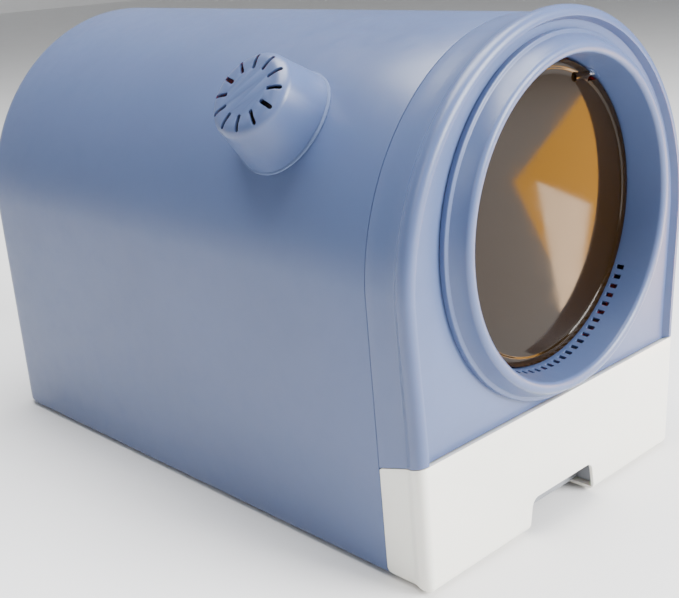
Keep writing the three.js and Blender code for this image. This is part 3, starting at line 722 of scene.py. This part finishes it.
class BuildFlap(bpy.types.Operator):
    """Turns the see-through flap with its thicker border, and adds the knuckles for the pins"""
    bl_idname = "litter_box.flap"
    bl_label = "Entry flap"

    def execute(self, context):
        s = sizes()
        half, border = s.flap_thickness / 2, s.flap_border_thickness / 2
        inner = FLAP_RADIUS - s.flap_border
        middle = FRONT_Y - FLAP_Y
        bead = FLAP_RADIUS - MM
        front = [(inner - 5 * MM, half), (inner - 0.6 * MM, half), (inner, half + 0.15 * MM),
                 (inner + 0.9 * MM, border - 0.2 * MM),
                 (inner + 1.6 * MM, border)] + arc(bead, border - MM, MM, MM, 90, 0, 5)
        back = [(r, -h) for r, h in reversed(front)]
        flap = turned("flap", [(r, h + middle) for r, h in front + back], 160)
        rise = PIVOT_Z - ENTRY_Z
        end = math.sqrt(FLAP_RADIUS ** 2 - rise ** 2) - 6.5 * MM
        start = end - s.knuckle_length - 2 * MM
        for side in (-1, 1):
            joined_with(flap, cross_rod(s.knuckle, start, end, side, rise, middle), "UNION")
        for side in (-1, 1):
            joined_with(flap, cross_rod(6.2 * MM, end, FLAP_RADIUS, side, rise, middle), "DIFFERENCE")
            bore = cross_rod(PIN_BORE, start + 1.7 * MM, FLAP_RADIUS, side, rise, middle)
            joined_with(flap, bore, "DIFFERENCE")
        entry_part(flap)
        smooth(flap, 32)
        place_piece(flap, "flap", "flap_amber", ["entry_flap"])
        return {"FINISHED"}


class BuildDrawerFront(bpy.types.Operator):
    """Moulds the white drawer front with its two side wings and the finger notch"""
    bl_idname = "litter_box.drawer_front"
    bl_label = "Drawer front"

    def execute(self, context):
        s = sizes()
        end_y = MOUTH_Y - s.gap
        rings = [(FRONT_Y, s.rim_round + 3 * MM, s.flare)] + rim_rings(s, end_y)
        rings.append((end_y, s.wall, 0.0))
        rings += [(y, s.wall, 0.0) for y in steps_between(end_y, FRONT_Y + s.wall, 4)]
        drawer = tunnel_skin("drawer_moulding", rings)
        back = FRONT_Y + s.face_recess + s.wall
        leaned = s.lean * (SPRING_Z - DRAWER_TOP) / (SPRING_Z - FLOOR_Z)
        low_half = half_at(FRONT_Y) - leaned - s.wall + 0.4 * MM
        flange = block("top_flange",
                       (MIDDLE_X - low_half, FRONT_Y + s.wall - 0.5 * MM, DRAWER_TOP - s.flange),
                       (MIDDLE_X + low_half, back, DRAWER_TOP + MM))
        bpy.ops.object.mode_set(mode="OBJECT")
        joined_with(drawer, flange, "UNION")
        bpy.ops.object.mode_set(mode="EDIT")
        parting_cut(-s.parting / 2, False)
        self.round_corner(end_y - s.wing_corner, FLOOR_Z + s.wing_corner, s.wing_corner,
                          [-75, -60, -45, -30, -15])
        steep = math.sqrt(1 + s.slope ** 2)
        top_y = end_y - s.wing_top
        top_z = DRAWER_TOP - s.slope * (top_y - FRONT_Y) - s.wing_top * steep
        self.round_corner(top_y, top_z, s.wing_top, [12, 24, 36, 48, 60])
        finish_piece()
        for i in range(1, 5):
            low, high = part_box(f"drawer_screw_{i}")
            pad = rod("screw_pad", 6 * MM, 0, s.wall + 3.5 * MM, 40)
            centre = ((low.x + high.x) / 2, FRONT_Y + s.wall / 2, (low.z + high.z) / 2)
            joined_with(drawer, turn_to(pad, (0, 1, 0), centre), "UNION")
            bore = rod("screw_bore", 1.8 * MM, 1.7 * MM, 12 * MM, 24)
            joined_with(drawer, turn_to(bore, (0, 1, 0), centre), "DIFFERENCE")
        joined_with(drawer, self.notch_tool(s), "DIFFERENCE")
        round_edges(drawer, 0.5 * MM)
        smooth(drawer)
        place_piece(drawer, "drawer", "drawer_white", ["drawer_front"])
        return {"FINISHED"}

    def round_corner(self, y, z, radius, angles):
        """Trims a corner of both wings with a run of straight cuts."""
        for degrees in angles:
            angle = math.radians(degrees)
            outward = Vector((0, math.cos(angle), math.sin(angle)))
            bpy.ops.mesh.select_all(action="SELECT")
            bpy.ops.mesh.bisect(plane_co=Vector((MIDDLE_X, y, z)) + outward * radius, plane_no=outward,
                                use_fill=True, clear_outer=True)

    def notch_tool(self, s):
        tool = block("notch_tool", (MIDDLE_X - s.notch_low / 2, FRONT_Y - 0.01, FLOOR_Z - 0.01),
                     (MIDDLE_X + s.notch_low / 2, MOUTH_Y + 0.02, s.notch_height))
        choose_where(tool, lambda p: p.z > s.notch_height - TINY)
        stretch((s.notch_high / s.notch_low, 1, 1), (MIDDLE_X, 0, s.notch_height))
        mesh = bmesh.from_edit_mesh(tool.data)
        bpy.ops.mesh.select_all(action="DESELECT")
        bpy.ops.mesh.select_mode(type="EDGE")
        for edge in mesh.edges:
            a, b = (v.co for v in edge.verts)
            on_top = min(a.z, b.z) > s.notch_height - TINY
            edge.select = on_top and abs(a.x - b.x) < TINY
        bpy.ops.mesh.bevel(offset=s.notch_round, segments=7)
        bpy.ops.object.mode_set(mode="OBJECT")
        return tool


class BuildCup(bpy.types.Operator):
    """Turns the cap of the filter cup, fits its foot to the arch and cuts the vent slots"""
    bl_idname = "litter_box.cup"
    bl_label = "Filter cup"

    def execute(self, context):
        s = sizes()
        arch = half_at(CUP_Y - s.cup_radius - 2 * MM)
        top = arch + s.cup_height
        shoulder = top - s.cup_crown
        foot = arch - s.cup_tongue
        landing = arch + 6 * MM
        top_radius = s.cup_radius - s.cup_taper

        def radius_at(h):
            return s.cup_radius - s.cup_taper * (h - arch) / (shoulder - arch)

        def crown(inset):
            return arc(top_radius - s.cup_crown_width, shoulder, s.cup_crown_width - inset,
                       s.cup_crown - inset, 0, 90, 10)

        tongue_radius = s.cup_radius - s.cup_ledge
        inside = tongue_radius - s.cup_wall
        cap = turned("cup_cap", [(radius_at(foot), foot)] + crown(0), 128)
        bar = rod("arch_bar", arch + s.seal + 2 * s.gap, -2.2 * s.cup_radius, 2.2 * s.cup_radius, 512)
        turn_to(cap, CUP_AXIS, CUP_CENTRE)
        joined_with(cap, turn_to(bar, (0, 1, 0), CUP_CENTRE), "DIFFERENCE")
        tongue = rod("cup_tongue", tongue_radius, foot, landing, 128)
        joined_with(cap, turn_to(tongue, CUP_AXIS, CUP_CENTRE), "UNION")
        hollow = turned("cup_hollow", [(inside, foot - MM), (inside, landing),
                        (radius_at(landing + s.cup_wall) - s.cup_wall, landing + s.cup_wall)]
                        + crown(s.cup_wall), 128)
        joined_with(cap, turn_to(hollow, CUP_AXIS, CUP_CENTRE), "DIFFERENCE")
        for i in range(s.vents):
            slot = self.slot_tool(s, shoulder - s.cup_wall, top + 5 * MM)
            angle = 2 * math.pi * i / s.vents + math.radians(12)
            slot.rotation_euler = (0, 0, angle)
            clear_selection()
            slot.select_set(True)
            bpy.context.view_layer.objects.active = slot
            bpy.ops.object.transform_apply(location=True, rotation=True, scale=True)
            joined_with(cap, turn_to(slot, CUP_AXIS, CUP_CENTRE), "DIFFERENCE")
        round_edges(cap, 0.45 * MM, 35)
        smooth(cap, 35)
        place_piece(cap, "filter_cup", "hood_blue", ["filter_cap"])
        return {"FINISHED"}

    def slot_tool(self, s, low, high):
        """A long block with rounded ends."""
        half = s.slot_width / 2
        tool = block("slot_tool", (s.slot_inner, -half, low), (s.slot_outer, half, high))
        mesh = bmesh.from_edit_mesh(tool.data)
        bpy.ops.mesh.select_all(action="DESELECT")
        bpy.ops.mesh.select_mode(type="EDGE")
        for edge in mesh.edges:
            a, b = (v.co for v in edge.verts)
            edge.select = abs(a.x - b.x) < TINY and abs(a.y - b.y) < TINY
        bpy.ops.mesh.bevel(offset=half * 0.98, segments=5)
        bpy.ops.object.mode_set(mode="OBJECT")
        return tool


class FinishInnerParts(bpy.types.Operator):
    """Gives the frame's own tray, seal, filter, screws, pins and feet their finishes"""
    bl_idname = "litter_box.inner_parts"
    bl_label = "Inner parts"

    def execute(self, context):
        for part in frame["record"]["subparts"]:
            node = frame["nodes"][part["node"]]
            if not node.hide_render:
                node.data.materials.clear()
                node.data.materials.append(finish_for(part["material_slot"]))
        return {"FINISHED"}


# ------------------------------------------------------------------ the stage

def lamp(name, place, target, size, energy, tint=(1, 1, 1), spread_degrees=180):
    data = bpy.data.lights.new(name, "AREA")
    data.shape = "RECTANGLE"
    data.size, data.size_y = size
    data.energy = energy
    data.color = tint
    data.spread = math.radians(spread_degrees)
    lamp_object = bpy.data.objects.new(name, data)
    lamp_object.location = place
    lamp_object.rotation_euler = (Vector(target) - Vector(place)).to_track_quat("-Z", "Y").to_euler()
    bpy.context.scene.collection.objects.link(lamp_object)
    return lamp_object


def panel(name, corners, tint, strength):
    """A glowing four-cornered sheet that shows only as a reflection in the flap."""
    bpy.ops.mesh.primitive_plane_add(size=1, location=(0, 0, 0))
    sheet = begin(name)
    for number, start in chosen_all(sheet).items():
        choose(sheet, [number])
        move(Vector(corners[(0, 1, 3, 2)[number]]) - start)
    finish_piece(outward=False)
    glow = bpy.data.materials.new(name + "_glow")
    glow.use_nodes = True
    shader = glow.node_tree.nodes["Principled BSDF"]
    shader.inputs["Base Color"].default_value = (0, 0, 0, 1)
    shader.inputs["Emission Color"].default_value = (*tint, 1)
    shader.inputs["Emission Strength"].default_value = strength
    sheet.data.materials.append(glow)
    for way in ("visible_camera", "visible_diffuse", "visible_transmission", "visible_shadow",
                "visible_volume_scatter"):
        setattr(sheet, way, False)


class SetStage(bpy.types.Operator):
    """Sets out the pale floor, the studio lights and the camera"""
    bl_idname = "litter_box.stage"
    bl_label = "Stage"

    def execute(self, context):
        bpy.ops.mesh.primitive_plane_add(size=FLOOR_SIZE, location=(MIDDLE_X, 0, 0))
        floor = begin("floor")
        choose_where(floor, lambda p: p.y > FLOOR_SIZE / 2 - 1)
        bpy.ops.mesh.extrude_region_move(TRANSFORM_OT_translate={"value": (0, 0, WALL_HEIGHT)})
        finish_piece(outward=False)
        finish = surface("floor_finish", colours().floor, 0.7, grain=200.0, grain_depth=0.1,
                         variation=0.01, wear=0.0)
        floor.data.materials.append(finish)
        target = (MIDDLE_X, 0, 0.2)
        lamp("top_light", (0.1, 0.1, 2.4), target, (1.8, 1.6), 135)
        lamp("side_light", (-2.4, -0.9, 1.9), target, (1.2, 1.2), 12)
        lamp("front_light", (0.9, -2.5, 1.3), target, (1.6, 1.4), 210)
        panel("amber_panel", [(0.472, -0.524, 0.282), (0.604, -0.524, 0.095), (0.466, -0.524, -0.026),
                              (0.321, -0.524, 0.193)], (1.0, 0.46, 0.07), 14)
        panel("pale_panel", [(0.308, -0.483, 0.201), (0.416, -0.483, 0.153), (0.396, -0.483, 0.048),
                             (0.356, -0.483, 0.032)], (1.0, 0.70, 0.45), 24)
        world = bpy.context.scene.world or bpy.data.worlds.new("studio")
        bpy.context.scene.world = world
        world.use_nodes = True
        world.node_tree.nodes["Background"].inputs[0].default_value = (0.95, 0.97, 1, 1)
        world.node_tree.nodes["Background"].inputs[1].default_value = 0.26
        data = bpy.data.cameras.new("camera")
        data.lens = 60.97
        data.sensor_width = 36
        data.shift_x, data.shift_y = 0.05767, -0.11079
        data.clip_end = 60
        camera = bpy.data.objects.new("camera", data)
        bpy.context.scene.collection.objects.link(camera)
        camera.matrix_world = self.facing(CAMERA_RIGHT, CAMERA_FORWARD, CAMERA_PLACE)
        bpy.context.scene.camera = camera
        return {"FINISHED"}

    def facing(self, right, forward, place):
        up = right.cross(forward)
        turn = Matrix((right, up, -forward)).transposed()
        return Matrix.Translation(place) @ turn.to_4x4()


# ------------------------------------------------------------------ panel and run

PIECES = (BuildHood, BuildFrame, BuildCollar, BuildFlap, BuildDrawerFront, BuildCup, FinishInnerParts,
          SetStage)


class LitterBoxPanel(bpy.types.Panel):
    """Lists the pieces of the litter box"""
    bl_idname = "VIEW3D_PT_litter_box"
    bl_label = "Litter box"
    bl_space_type = "VIEW_3D"
    bl_region_type = "UI"
    bl_category = "Litter box"

    def draw(self, context):
        for piece in PIECES:
            self.layout.operator(piece.bl_idname)


CLASSES = (LitterBoxSizes, LitterBoxColours) + PIECES + (LitterBoxPanel,)


def register():
    for kind in CLASSES:
        bpy.utils.register_class(kind)
    bpy.types.Scene.litter_box_sizes = bpy.props.PointerProperty(type=LitterBoxSizes)
    bpy.types.Scene.litter_box_colours = bpy.props.PointerProperty(type=LitterBoxColours)


def unregister():
    del bpy.types.Scene.litter_box_colours
    del bpy.types.Scene.litter_box_sizes
    for kind in reversed(CLASSES):
        bpy.utils.unregister_class(kind)


def main():
    register()
    for piece in PIECES:
        clear_selection()
        group, name = piece.bl_idname.split(".")
        getattr(getattr(bpy.ops, group), name)()


if __name__ == "__main__":
    main()
